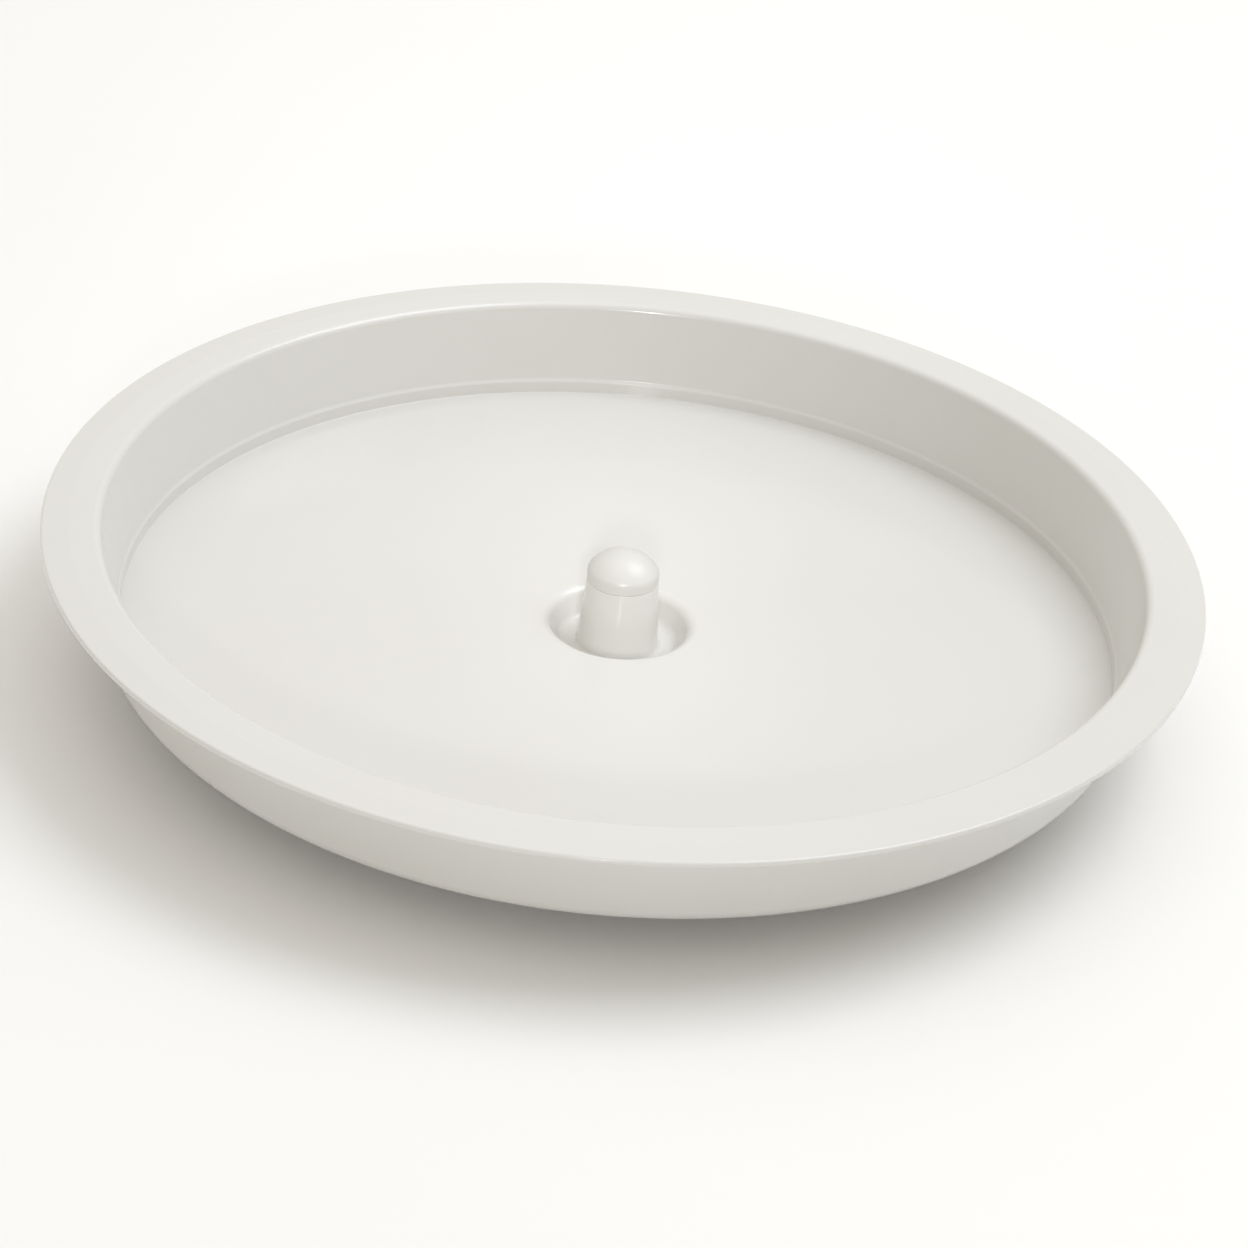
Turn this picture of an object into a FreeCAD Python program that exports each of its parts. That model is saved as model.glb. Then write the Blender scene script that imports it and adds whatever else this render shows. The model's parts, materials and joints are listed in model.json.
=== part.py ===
"""Lazy susan turntable: a flanged dish that spins on a ball race above a rubber-footed base.

Millimetres. +Z is up along the spin axis, and the origin is the centre of the plane the feet stand on.
"""
import FreeCAD, Part
import math
import os

# Driving sizes of the whole turntable
RIM_DIAMETER = 266.7
OVERALL_HEIGHT = 36.0
DISH_DEPTH = 23.1
FLOOR_EDGE_RADIUS = 115.1
FLOOR_THICKNESS = 2.6
WALL_THICKNESS = 2.7
BASE_RADIUS = 88.0
RACE_RADIUS = 62.0
BALL_DIAMETER = 6.35
BALL_COUNT = 12
FOOT_COUNT = 6
SPIGOT_RADIUS = 4.0

# Heights that the pieces share
FLOOR_TOP = OVERALL_HEIGHT - DISH_DEPTH
FLOOR_UNDERSIDE = FLOOR_TOP - FLOOR_THICKNESS
BALL_RADIUS = BALL_DIAMETER / 2
BALL_CENTRE_Z = 6.9
RACE_CLEARANCE = 0.1
GROOVE_RADIUS = 3.5
GROOVE_OFFSET = GROOVE_RADIUS - BALL_RADIUS - RACE_CLEARANCE
KERB_HALF_WIDTH = 7.2
KERB_DRAFT = 0.3

# Dish rim and wall
RIM_RADIUS = RIM_DIAMETER / 2
LIP_RADIUS = 120.0
LIP_ROUNDING = 2.0
CREST_OUTER_RADIUS = 127.0
CREST_BLEND = 12.0
RIM_EDGE_DROP = 0.5
RIM_EDGE_THICKNESS = 1.2
RIM_EDGE_TOP_ROUNDING = 0.7
RIM_EDGE_BOTTOM_ROUNDING = 0.3
FLANGE_ROOT_THICKNESS = 2.6
FLANGE_ROOT_ROUNDING = 1.6
WALL_FOOT_RADIUS = 115.8
STEP_HEIGHT = 3.7
STEP_DRAFT = 0.2
STEP_SLOPE = 0.8
STEP_ROUNDING = 0.8
FLOOR_EDGE_ROUNDING = 0.25
OUTER_FOOT_RADIUS = 119.0
OUTER_FOOT_ROUNDING = 4.0

# Centre well and post
WELL_RADIUS = 16.7
WELL_DRAFT = 3.0
WELL_DEPTH = 6.0
WELL_WALL = 2.2
WELL_FLOOR_THICKNESS = 2.0
WELL_LIP_ROUNDING = 3.0
WELL_FOOT_ROUNDING = 2.5
POST_TOP_Z = 24.0
POST_TOP_RADIUS = 8.3
POST_FOOT_RADIUS = 9.6
POST_FOOT_ROUNDING = 1.2
POST_TOP_ROUNDING = 0.3
CHAMBER_RADIUS = 6.9
SHOULDER_Z = 17.0

# Stiffening ribs under the dish
RIB_COUNT = 12
RIB_THICKNESS = 1.6
OUTER_RIB_END = 108.0
RING_RIB_RADIUS = 92.0
RIB_OVERLAP = 0.8

# Post cap
CAP_RADIUS = 8.35
CAP_SIDE_HEIGHT = 2.6
CAP_DOME_RISE = 4.4
CAP_EDGE_ROUNDING = 2.2
CAP_WALL = 1.5
CAP_PLUG_CLEARANCE = 0.05
CAP_PLUG_DEPTH = 2.2
CAP_PLUG_WALL = 1.3
CAP_SEAM_ROUNDING = 0.3

# Bush, washer and screw
BUSH_RADIUS = 5.5
BUSH_CLEARANCE = 0.05
BUSH_BOTTOM_Z = 5.1
BUSH_FLANGE_RADIUS = 6.6
BUSH_FLANGE_THICKNESS = 1.2
BUSH_CHAMFER = 0.4
LIFT_GAP = 0.3
WASHER_RADIUS = 6.2
WASHER_THICKNESS = 1.0
SCREW_SHANK_RADIUS = 1.45
SCREW_LENGTH = 10.0
SCREW_TIP_LENGTH = 1.6
SCREW_HEAD_RADIUS = 2.8
SCREW_HEAD_HEIGHT = 2.0
SCREW_HEAD_ROUNDING = 0.8
RECESS_LENGTH = 3.2
RECESS_WIDTH = 0.75
RECESS_DEPTH = 1.2
PILOT_EXTRA_DEPTH = 0.5

# Base moulding
PLATE_TOP_Z = 3.4
PLATE_UNDERSIDE_Z = 1.8
BASE_RIB_BOTTOM_Z = 1.0
BASE_LIP_TOP_Z = 5.2
BASE_LIP_THICKNESS = 2.4
BASE_LIP_ROUNDING = 0.8
BASE_KERB_TOP_Z = 4.7
HUB_RADIUS = 9.0
HUB_TOP_Z = 4.2
HUB_DRAFT = 0.3
SPIGOT_FOOT_ROUNDING = 0.6
SPIGOT_CHAMFER = 0.5
BASE_RIB_COUNT = 12
BASE_RING_RIBS = (30.0, 54.0)
BASE_HUB_RING_RADIUS = 9.0

# Feet
FOOT_CIRCLE_RADIUS = 75.0
FOOT_RADIUS = 7.0
FOOT_HEIGHT = 2.0
FOOT_ROUNDING = 0.5
FOOT_POCKET_CLEARANCE = 0.05
FOOT_BOSS_WALL = 1.6

# Ball cage
CAGE_THICKNESS = 3.2
CAGE_RING_HALF_WIDTH = 2.2
CAGE_BOSS_RADIUS = 5.0
CAGE_POCKET_RADIUS = 3.45

# Upper race moulded under the dish
DISH_KERB_BOTTOM_Z = 9.1

ORIGIN = FreeCAD.Vector(0, 0, 0)
UP = FreeCAD.Vector(0, 0, 1)
FULL_TURN = 360.0
SHARP = 0.0


def corner_tangents(corner, before, after, rounding):
    """The start, middle and end of the arc that rounds one corner of an outline."""
    back = before.sub(corner).normalize()
    ahead = after.sub(corner).normalize()
    half_angle = back.getAngle(ahead) / 2
    reach = rounding / math.tan(half_angle)
    inward = back.add(ahead).normalize()
    centre = corner.add(inward.multiply(rounding / math.sin(half_angle)))
    start = corner.add(back.multiply(reach))
    end = corner.add(ahead.multiply(reach))
    outward = corner.sub(centre).normalize()
    middle = centre.add(outward.multiply(rounding))
    return start, middle, end


def outline_edges(corners):
    """Closed outline in the XZ plane from (radius, height, rounding) corners, as lines and arcs."""
    points = [FreeCAD.Vector(radius, 0, height) for radius, height, rounding in corners]
    arcs = []
    for index, (_, _, rounding) in enumerate(corners):
        corner = points[index]
        if rounding == SHARP:
            arcs.append((corner, None, corner))
            continue
        before = points[index - 1]
        after = points[(index + 1) % len(points)]
        arcs.append(corner_tangents(corner, before, after, rounding))
    edges = []
    for index, (start, middle, end) in enumerate(arcs):
        if middle is not None:
            edges.append(Part.Arc(start, middle, end).toShape())
        next_start = arcs[(index + 1) % len(arcs)][0]
        edges.append(Part.makeLine(end, next_start))
    return edges


def turned(corners):
    """Solid of revolution about the Z axis."""
    face = Part.Face(Part.Wire(outline_edges(corners)))
    return face.revolve(ORIGIN, UP, FULL_TURN)


def tube(inner_radius, outer_radius, bottom, top):
    """Plain ring between two heights."""
    return turned([
        (inner_radius, bottom, SHARP),
        (outer_radius, bottom, SHARP),
        (outer_radius, top, SHARP),
        (inner_radius, top, SHARP),
    ])


def disc(radius, bottom, top, x=0.0, y=0.0):
    """Upright cylinder."""
    return Part.makeCylinder(radius, top - bottom, FreeCAD.Vector(x, y, bottom), UP)


def on_circle(radius, index, count):
    """X and Y of one of several places spaced evenly round the axis."""
    angle = 2 * math.pi * index / count
    return radius * math.cos(angle), radius * math.sin(angle)


def radial_ribs(count, inner, outer, bottom, top, thickness, first_angle=0.0):
    """Straight ribs that stand on edge and run outward from the axis."""
    ribs = []
    for index in range(count):
        rib = Part.makeBox(outer - inner, thickness, top - bottom)
        rib.translate(FreeCAD.Vector(inner, -thickness / 2, bottom))
        rib.rotate(ORIGIN, UP, first_angle + FULL_TURN * index / count)
        ribs.append(rib)
    return ribs


def race_groove(centre_z):
    """Torus that cuts the round-bottomed track the balls run in."""
    return Part.makeTorus(RACE_RADIUS, GROOVE_RADIUS, FreeCAD.Vector(0, 0, centre_z), UP)


def dish_shell():
    """The dish in section: post, well, floor, stepped wall, rim flange and upper race."""
    well_top_z = FLOOR_TOP - WELL_DEPTH
    well_underside_z = well_top_z - WELL_FLOOR_THICKNESS
    well_foot_radius = WELL_RADIUS - WELL_DRAFT
    step_top_z = FLOOR_TOP + STEP_HEIGHT
    rim_edge_z = OVERALL_HEIGHT - RIM_EDGE_DROP
    wall_slope = (LIP_RADIUS - WALL_FOOT_RADIUS) / (OVERALL_HEIGHT - step_top_z)
    flange_underside_z = OVERALL_HEIGHT - FLANGE_ROOT_THICKNESS
    flange_root_radius = LIP_RADIUS - wall_slope * FLANGE_ROOT_THICKNESS + WALL_THICKNESS
    kerb_inner = RACE_RADIUS - KERB_HALF_WIDTH
    kerb_outer = RACE_RADIUS + KERB_HALF_WIDTH
    return turned([
        (CHAMBER_RADIUS, POST_TOP_Z, SHARP),
        (POST_TOP_RADIUS, POST_TOP_Z, POST_TOP_ROUNDING),
        (POST_FOOT_RADIUS, well_top_z, POST_FOOT_ROUNDING),
        (well_foot_radius, well_top_z, WELL_FOOT_ROUNDING),
        (WELL_RADIUS, FLOOR_TOP, WELL_LIP_ROUNDING),
        (FLOOR_EDGE_RADIUS, FLOOR_TOP, FLOOR_EDGE_ROUNDING),
        (FLOOR_EDGE_RADIUS + STEP_DRAFT, step_top_z - STEP_SLOPE, STEP_ROUNDING),
        (WALL_FOOT_RADIUS, step_top_z, STEP_ROUNDING),
        (LIP_RADIUS, OVERALL_HEIGHT, LIP_ROUNDING),
        (CREST_OUTER_RADIUS, OVERALL_HEIGHT, CREST_BLEND),
        (RIM_RADIUS, rim_edge_z, RIM_EDGE_TOP_ROUNDING),
        (RIM_RADIUS, rim_edge_z - RIM_EDGE_THICKNESS, RIM_EDGE_BOTTOM_ROUNDING),
        (flange_root_radius, flange_underside_z, FLANGE_ROOT_ROUNDING),
        (OUTER_FOOT_RADIUS, FLOOR_UNDERSIDE, OUTER_FOOT_ROUNDING),
        (kerb_outer + KERB_DRAFT, FLOOR_UNDERSIDE, SHARP),
        (kerb_outer, DISH_KERB_BOTTOM_Z, SHARP),
        (kerb_inner, DISH_KERB_BOTTOM_Z, SHARP),
        (kerb_inner - KERB_DRAFT, FLOOR_UNDERSIDE, SHARP),
        (WELL_RADIUS + WELL_WALL, FLOOR_UNDERSIDE, WELL_LIP_ROUNDING),
        (well_foot_radius + WELL_WALL, well_underside_z, WELL_FOOT_ROUNDING),
        (BUSH_RADIUS, well_underside_z, SHARP),
        (BUSH_RADIUS, SHOULDER_Z, SHARP),
        (CHAMBER_RADIUS, SHOULDER_Z, SHARP),
    ])


def dish_ribs():
    """Shallow ribs under the dish floor, inside and outside the upper race and flush with its kerbs."""
    bottom = DISH_KERB_BOTTOM_Z
    top = FLOOR_UNDERSIDE + RIB_OVERLAP
    inner_end = RACE_RADIUS - KERB_HALF_WIDTH + RIB_OVERLAP
    outer_start = RACE_RADIUS + KERB_HALF_WIDTH - RIB_OVERLAP
    inner = radial_ribs(RIB_COUNT, WELL_RADIUS, inner_end, bottom, top, RIB_THICKNESS)
    outer = radial_ribs(RIB_COUNT, outer_start, OUTER_RIB_END, bottom, top, RIB_THICKNESS)
    ring = tube(RING_RIB_RADIUS, RING_RIB_RADIUS + RIB_THICKNESS, bottom, top)
    return inner + outer + [ring]


def make_tray():
    """Dish moulded in one piece, with the upper half of the ball race under its floor."""
    tray = dish_shell().fuse(dish_ribs())
    return tray.cut(race_groove(BALL_CENTRE_Z - GROOVE_OFFSET)).removeSplitter()


def make_post_cap():
    """Domed cap that plugs the open top of the post."""
    side_top_z = POST_TOP_Z + CAP_SIDE_HEIGHT
    apex_z = side_top_z + CAP_DOME_RISE
    plug_radius = CHAMBER_RADIUS - CAP_PLUG_CLEARANCE
    cavity_radius = plug_radius - CAP_PLUG_WALL
    plug_bottom_z = POST_TOP_Z - CAP_PLUG_DEPTH
    body = turned([
        (0, apex_z, SHARP),
        (CAP_RADIUS, apex_z, SHARP),
        (CAP_RADIUS, POST_TOP_Z, CAP_SEAM_ROUNDING),
        (plug_radius, POST_TOP_Z, SHARP),
        (plug_radius, plug_bottom_z, CAP_SEAM_ROUNDING),
        (cavity_radius, plug_bottom_z, SHARP),
        (cavity_radius, side_top_z - CAP_WALL, SHARP),
        (0, side_top_z - CAP_WALL, SHARP),
    ])
    dome_radius = (CAP_RADIUS ** 2 + CAP_DOME_RISE ** 2) / (2 * CAP_DOME_RISE)
    dome = Part.makeSphere(dome_radius, FreeCAD.Vector(0, 0, apex_z - dome_radius))
    cap = body.common(dome)
    rim = [edge for edge in cap.Edges if is_circle_at(edge, CAP_RADIUS, side_top_z)]
    return cap.makeFillet(CAP_EDGE_ROUNDING, rim)


def is_circle_at(edge, radius, height):
    """Whether an edge is a circle of this radius about the Z axis, at this height."""
    tolerance = 0.01
    if edge.Degenerated or not isinstance(edge.Curve, Part.Circle):
        return False
    same_radius = abs(edge.Curve.Radius - radius) < tolerance
    same_height = abs(edge.Curve.Center.z - height) < tolerance
    return same_radius and same_height


def make_pivot_bush():
    """Flanged bearing bush pressed into the post, whose flange sits on the post's inner shoulder."""
    bore = SPIGOT_RADIUS + BUSH_CLEARANCE
    flange_top_z = SHOULDER_Z + BUSH_FLANGE_THICKNESS
    return turned([
        (bore, BUSH_BOTTOM_Z, SHARP),
        (BUSH_RADIUS - BUSH_CHAMFER, BUSH_BOTTOM_Z, SHARP),
        (BUSH_RADIUS, BUSH_BOTTOM_Z + BUSH_CHAMFER, SHARP),
        (BUSH_RADIUS, SHOULDER_Z, SHARP),
        (BUSH_FLANGE_RADIUS, SHOULDER_Z, SHARP),
        (BUSH_FLANGE_RADIUS, flange_top_z, BUSH_CHAMFER),
        (bore, flange_top_z, SHARP),
    ])


def spigot_top():
    """Height of the spigot's end face, just above the bush flange so that the dish spins freely."""
    return SHOULDER_Z + BUSH_FLANGE_THICKNESS + LIFT_GAP


def make_retaining_washer():
    """Steel washer on the spigot's end that stops the dish lifting off."""
    return tube(SCREW_SHANK_RADIUS, WASHER_RADIUS, spigot_top(), spigot_top() + WASHER_THICKNESS)


def make_pivot_screw():
    """Pan-head screw with a cross recess that clamps the washer to the spigot."""
    seat_z = spigot_top() + WASHER_THICKNESS
    head_top_z = seat_z + SCREW_HEAD_HEIGHT
    tip_z = seat_z - SCREW_LENGTH
    screw = turned([
        (0, tip_z, SHARP),
        (SCREW_SHANK_RADIUS, tip_z + SCREW_TIP_LENGTH, SHARP),
        (SCREW_SHANK_RADIUS, seat_z, SHARP),
        (SCREW_HEAD_RADIUS, seat_z, SHARP),
        (SCREW_HEAD_RADIUS, head_top_z, SCREW_HEAD_ROUNDING),
        (0, head_top_z, SHARP),
    ])
    for turn in (0.0, 90.0):
        slot = Part.makeBox(RECESS_LENGTH, RECESS_WIDTH, RECESS_DEPTH)
        slot.translate(FreeCAD.Vector(-RECESS_LENGTH / 2, -RECESS_WIDTH / 2, head_top_z - RECESS_DEPTH))
        slot.rotate(ORIGIN, UP, turn)
        screw = screw.cut(slot)
    return screw


def base_shell():
    """The base in section: drilled spigot, hub, plate, lower race kerb and outer lip."""
    pilot_bottom_z = spigot_top() + WASHER_THICKNESS - SCREW_LENGTH - PILOT_EXTRA_DEPTH
    kerb_inner = RACE_RADIUS - KERB_HALF_WIDTH
    kerb_outer = RACE_RADIUS + KERB_HALF_WIDTH
    lip_inner = BASE_RADIUS - BASE_LIP_THICKNESS
    return turned([
        (0, pilot_bottom_z, SHARP),
        (SCREW_SHANK_RADIUS, pilot_bottom_z, SHARP),
        (SCREW_SHANK_RADIUS, spigot_top(), SHARP),
        (SPIGOT_RADIUS - SPIGOT_CHAMFER, spigot_top(), SHARP),
        (SPIGOT_RADIUS, spigot_top() - SPIGOT_CHAMFER, SHARP),
        (SPIGOT_RADIUS, HUB_TOP_Z, SPIGOT_FOOT_ROUNDING),
        (HUB_RADIUS, HUB_TOP_Z, SHARP),
        (HUB_RADIUS + HUB_DRAFT, PLATE_TOP_Z, SHARP),
        (kerb_inner - KERB_DRAFT, PLATE_TOP_Z, SHARP),
        (kerb_inner, BASE_KERB_TOP_Z, SHARP),
        (kerb_outer, BASE_KERB_TOP_Z, SHARP),
        (kerb_outer + KERB_DRAFT, PLATE_TOP_Z, SHARP),
        (lip_inner, PLATE_TOP_Z, BASE_LIP_ROUNDING),
        (lip_inner, BASE_LIP_TOP_Z, BASE_LIP_ROUNDING),
        (BASE_RADIUS, BASE_LIP_TOP_Z, BASE_LIP_ROUNDING),
        (BASE_RADIUS, BASE_RIB_BOTTOM_Z, BASE_LIP_ROUNDING),
        (lip_inner, BASE_RIB_BOTTOM_Z, SHARP),
        (lip_inner, PLATE_UNDERSIDE_Z, SHARP),
        (0, PLATE_UNDERSIDE_Z, SHARP),
    ])


def base_ribs():
    """Ribs, rings and foot bosses moulded under the base plate."""
    bottom = BASE_RIB_BOTTOM_Z
    top = PLATE_UNDERSIDE_Z + RIB_OVERLAP
    start = BASE_HUB_RING_RADIUS - RIB_OVERLAP
    end = BASE_RADIUS - BASE_LIP_THICKNESS + RIB_OVERLAP
    ribs = radial_ribs(BASE_RIB_COUNT, start, end, bottom, top, RIB_THICKNESS, half_step(BASE_RIB_COUNT))
    rings = [tube(radius, radius + RIB_THICKNESS, bottom, top) for radius in BASE_RING_RIBS]
    hub = disc(BASE_HUB_RING_RADIUS, bottom, top)
    bosses = []
    for index in range(FOOT_COUNT):
        x, y = on_circle(FOOT_CIRCLE_RADIUS, index, FOOT_COUNT)
        bosses.append(disc(FOOT_RADIUS + FOOT_BOSS_WALL, bottom, top, x, y))
    return ribs + rings + [hub] + bosses


def half_step(count):
    """Half the angle between neighbours of an evenly spaced set, in degrees."""
    return FULL_TURN / count / 2


def make_base():
    """Base moulding with the lower half of the ball race, the pivot spigot and the foot pockets."""
    base = base_shell().fuse(base_ribs())
    pockets = []
    for index in range(FOOT_COUNT):
        x, y = on_circle(FOOT_CIRCLE_RADIUS, index, FOOT_COUNT)
        pockets.append(disc(FOOT_RADIUS + FOOT_POCKET_CLEARANCE, 0, FOOT_HEIGHT, x, y))
    groove = race_groove(BALL_CENTRE_Z + GROOVE_OFFSET)
    return base.cut(pockets + [groove]).removeSplitter()


def make_foot(index):
    """Rubber pad glued into one pocket of the base, standing proud of it."""
    x, y = on_circle(FOOT_CIRCLE_RADIUS, index, FOOT_COUNT)
    foot = turned([
        (0, 0, SHARP),
        (FOOT_RADIUS, 0, FOOT_ROUNDING),
        (FOOT_RADIUS, FOOT_HEIGHT, SHARP),
        (0, FOOT_HEIGHT, SHARP),
    ])
    foot.translate(FreeCAD.Vector(x, y, 0))
    return foot


def make_ball(index):
    """Steel ball of the race."""
    x, y = on_circle(RACE_RADIUS, index, BALL_COUNT)
    return Part.makeSphere(BALL_RADIUS, FreeCAD.Vector(x, y, BALL_CENTRE_Z))


def make_ball_cage():
    """Ring with a boss and a snap-in pocket for each ball, which keeps the balls evenly spaced."""
    bottom = BALL_CENTRE_Z - CAGE_THICKNESS / 2
    top = BALL_CENTRE_Z + CAGE_THICKNESS / 2
    inner = RACE_RADIUS - CAGE_RING_HALF_WIDTH
    outer = RACE_RADIUS + CAGE_RING_HALF_WIDTH
    bosses = []
    pockets = []
    for index in range(BALL_COUNT):
        x, y = on_circle(RACE_RADIUS, index, BALL_COUNT)
        bosses.append(disc(CAGE_BOSS_RADIUS, bottom, top, x, y))
        pockets.append(Part.makeSphere(CAGE_POCKET_RADIUS, FreeCAD.Vector(x, y, BALL_CENTRE_Z)))
    ring = tube(inner, outer, bottom, top).fuse(bosses).removeSplitter()
    return ring.cut(pockets)


def all_parts():
    """Every separate piece by its node name."""
    parts = {
        "tray": make_tray(),
        "post_cap": make_post_cap(),
        "pivot_bush": make_pivot_bush(),
        "retaining_washer": make_retaining_washer(),
        "pivot_screw": make_pivot_screw(),
        "base": make_base(),
        "ball_cage": make_ball_cage(),
    }
    for index in range(BALL_COUNT):
        parts[f"ball_{index + 1:02d}"] = make_ball(index)
    for index in range(FOOT_COUNT):
        parts[f"foot_{index + 1}"] = make_foot(index)
    return parts


os.makedirs("parts", exist_ok=True)
for node, shape in all_parts().items():
    solid = shape.Solids[0]
    print(node, "solids", len(shape.Solids), "valid", solid.isValid(), "volume", round(solid.Volume, 1))
    solid.exportStep(f"parts/{node}.step")
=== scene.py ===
"""Lazy susan turntable: moulded dish, capped post, ball race, base and feet in a pale studio."""

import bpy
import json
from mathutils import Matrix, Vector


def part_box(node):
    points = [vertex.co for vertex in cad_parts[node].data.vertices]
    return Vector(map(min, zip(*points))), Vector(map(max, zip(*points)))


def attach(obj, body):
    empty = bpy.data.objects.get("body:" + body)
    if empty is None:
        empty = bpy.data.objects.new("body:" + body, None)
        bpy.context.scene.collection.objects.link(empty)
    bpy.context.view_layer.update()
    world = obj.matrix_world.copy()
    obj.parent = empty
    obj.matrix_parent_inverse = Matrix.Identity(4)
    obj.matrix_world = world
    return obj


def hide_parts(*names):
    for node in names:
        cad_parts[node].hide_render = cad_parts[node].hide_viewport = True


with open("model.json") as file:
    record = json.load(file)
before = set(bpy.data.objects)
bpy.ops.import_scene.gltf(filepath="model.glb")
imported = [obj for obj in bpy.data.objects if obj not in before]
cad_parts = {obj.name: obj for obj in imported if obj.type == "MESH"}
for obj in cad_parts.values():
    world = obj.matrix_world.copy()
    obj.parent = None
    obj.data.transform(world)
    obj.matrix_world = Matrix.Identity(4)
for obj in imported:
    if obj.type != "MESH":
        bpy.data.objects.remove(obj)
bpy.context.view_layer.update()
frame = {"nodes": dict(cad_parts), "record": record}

import json
import math

import bmesh
import bpy
from mathutils import Matrix, Vector

MM = 0.001
SEGMENTS = 360
SMALL_SEGMENTS = 96
ARC_STEPS = 8
SMALL_ARC_STEPS = 5
SMOOTH_ANGLE = math.radians(28)

# Roundings of outline corners, in millimetres: none, and the small one that breaks a moulded edge
SHARP = 0.0
EDGE = 0.3

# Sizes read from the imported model, in millimetres
MOUNTS = {mount["name"]: mount for mount in frame["record"]["mounts"]}
TRAY_LOW, TRAY_HIGH = [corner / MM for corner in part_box("tray")]
CAP_LOW, CAP_HIGH = [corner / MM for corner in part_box("post_cap")]
BUSH_LOW, BUSH_HIGH = [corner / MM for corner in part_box("pivot_bush")]
BASE_LOW, BASE_HIGH = [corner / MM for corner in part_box("base")]
BALL_LOW, BALL_HIGH = [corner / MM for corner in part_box("ball_01")]
FOOT_LOW, FOOT_HIGH = [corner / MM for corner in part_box("foot_1")]
SCREW_LOW, SCREW_HIGH = [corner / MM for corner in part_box("pivot_screw")]
WASHER_LOW, WASHER_HIGH = [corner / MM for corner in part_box("retaining_washer")]
FLOOR_Z = MOUNTS["dish_floor"]["pos_m"][2] / MM
RIM_RADIUS = TRAY_HIGH.x
RIM_Z = TRAY_HIGH.z
WELL_UNDERSIDE_Z = TRAY_LOW.z
BALL_RADIUS = (BALL_HIGH.z - BALL_LOW.z) / 2
BALL_Z = (BALL_HIGH.z + BALL_LOW.z) / 2
RACE_RADIUS = (BALL_HIGH.x + BALL_LOW.x) / 2
BASE_RADIUS = BASE_HIGH.x
FOOT_RADIUS = (FOOT_HIGH.x - FOOT_LOW.x) / 2
FOOT_CIRCLE = (FOOT_HIGH.x + FOOT_LOW.x) / 2
FOOT_HEIGHT = FOOT_HIGH.z

# Counts
BALL_COUNT = 12
FOOT_COUNT = 6
RIB_COUNT = 12
HALF_STEP = math.pi / RIB_COUNT

# Sizes of the race that the dish and the base share
RACE_CLEARANCE = 0.1
GROOVE_RADIUS = 3.5
GROOVE_OFFSET = GROOVE_RADIUS - BALL_RADIUS - RACE_CLEARANCE
KERB_HALF_WIDTH = 7.2
KERB_INNER = RACE_RADIUS - KERB_HALF_WIDTH
KERB_OUTER = RACE_RADIUS + KERB_HALF_WIDTH
KERB_DRAFT = 0.3
RIB_THICKNESS = 1.6
RIB_SINK = 0.8

# Walls of the dish and the base
DISH_WALL = 2.6
FLOOR_UNDERSIDE_Z = FLOOR_Z - DISH_WALL
WELL_RADIUS = 16.7
BASE_LIP_WALL = 2.4
BASE_LIP_INNER = BASE_RADIUS - BASE_LIP_WALL
HUB_RING_RADIUS = 9.0

# Heights and radii where one piece meets another
CAP_PLUG_LENGTH = 2.2
CAP_SEAT_Z = CAP_LOW.z + CAP_PLUG_LENGTH
BUSH_FLANGE_HEIGHT = 1.2
BUSH_FLANGE_REACH = 1.1
BUSH_SEAT_Z = BUSH_HIGH.z - BUSH_FLANGE_HEIGHT
BUSH_RADIUS = BUSH_HIGH.x - BUSH_FLANGE_REACH
DISH_KERB_Z = 9.1
BASE_KERB_Z = 4.7
PLATE_TOP_Z = 3.4
PLATE_UNDERSIDE_Z = 1.8
SHANK_RADIUS = 1.45


# --- Meshes --------------------------------------------------------------------------------

def corner_arc(corner, before, after, rounding, steps):
    """Points of the arc that rounds one corner of an outline, from its start to its end."""
    back = (before - corner).normalized()
    ahead = (after - corner).normalized()
    half_angle = back.angle(ahead) / 2
    reach = rounding / math.tan(half_angle)
    centre = corner + (back + ahead).normalized() * (rounding / math.sin(half_angle))
    start = corner + back * reach - centre
    end = corner + ahead * reach - centre
    sweep = math.atan2(start.x * end.y - start.y * end.x, start.dot(end))
    points = []
    for step in range(steps + 1):
        turn = sweep * step / steps
        spun_x = start.x * math.cos(turn) - start.y * math.sin(turn)
        spun_y = start.x * math.sin(turn) + start.y * math.cos(turn)
        points.append(centre + Vector((spun_x, spun_y)))
    return points


def rounded_outline(corners, steps=ARC_STEPS):
    """Closed outline of 2-D points from (radius, height, rounding) corners in millimetres."""
    places = [Vector((radius, height)) for radius, height, _ in corners]
    outline = []
    for index, (_, _, rounding) in enumerate(corners):
        corner = places[index]
        if rounding == SHARP:
            outline.append(corner)
            continue
        before = places[index - 1]
        after = places[(index + 1) % len(places)]
        outline += corner_arc(corner, before, after, rounding, steps)
    return outline


def groove_corners(centre_z, kerb_z, steps=14):
    """Section of a race groove, from its outer edge on the kerb face to its inner edge."""
    outer = math.asin((kerb_z - centre_z) / GROOVE_RADIUS)
    inner = math.copysign(math.pi, outer) - outer
    corners = []
    for step in range(steps + 1):
        angle = outer + (inner - outer) * step / steps
        radius = RACE_RADIUS + GROOVE_RADIUS * math.cos(angle)
        corners.append((radius, centre_z + GROOVE_RADIUS * math.sin(angle), SHARP))
    return corners


def new_object(name, mesh):
    """Object made from a bmesh, linked to the scene."""
    data = bpy.data.meshes.new(name)
    mesh.to_mesh(data)
    mesh.free()
    piece = bpy.data.objects.new(name, data)
    bpy.context.scene.collection.objects.link(piece)
    return piece


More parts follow.
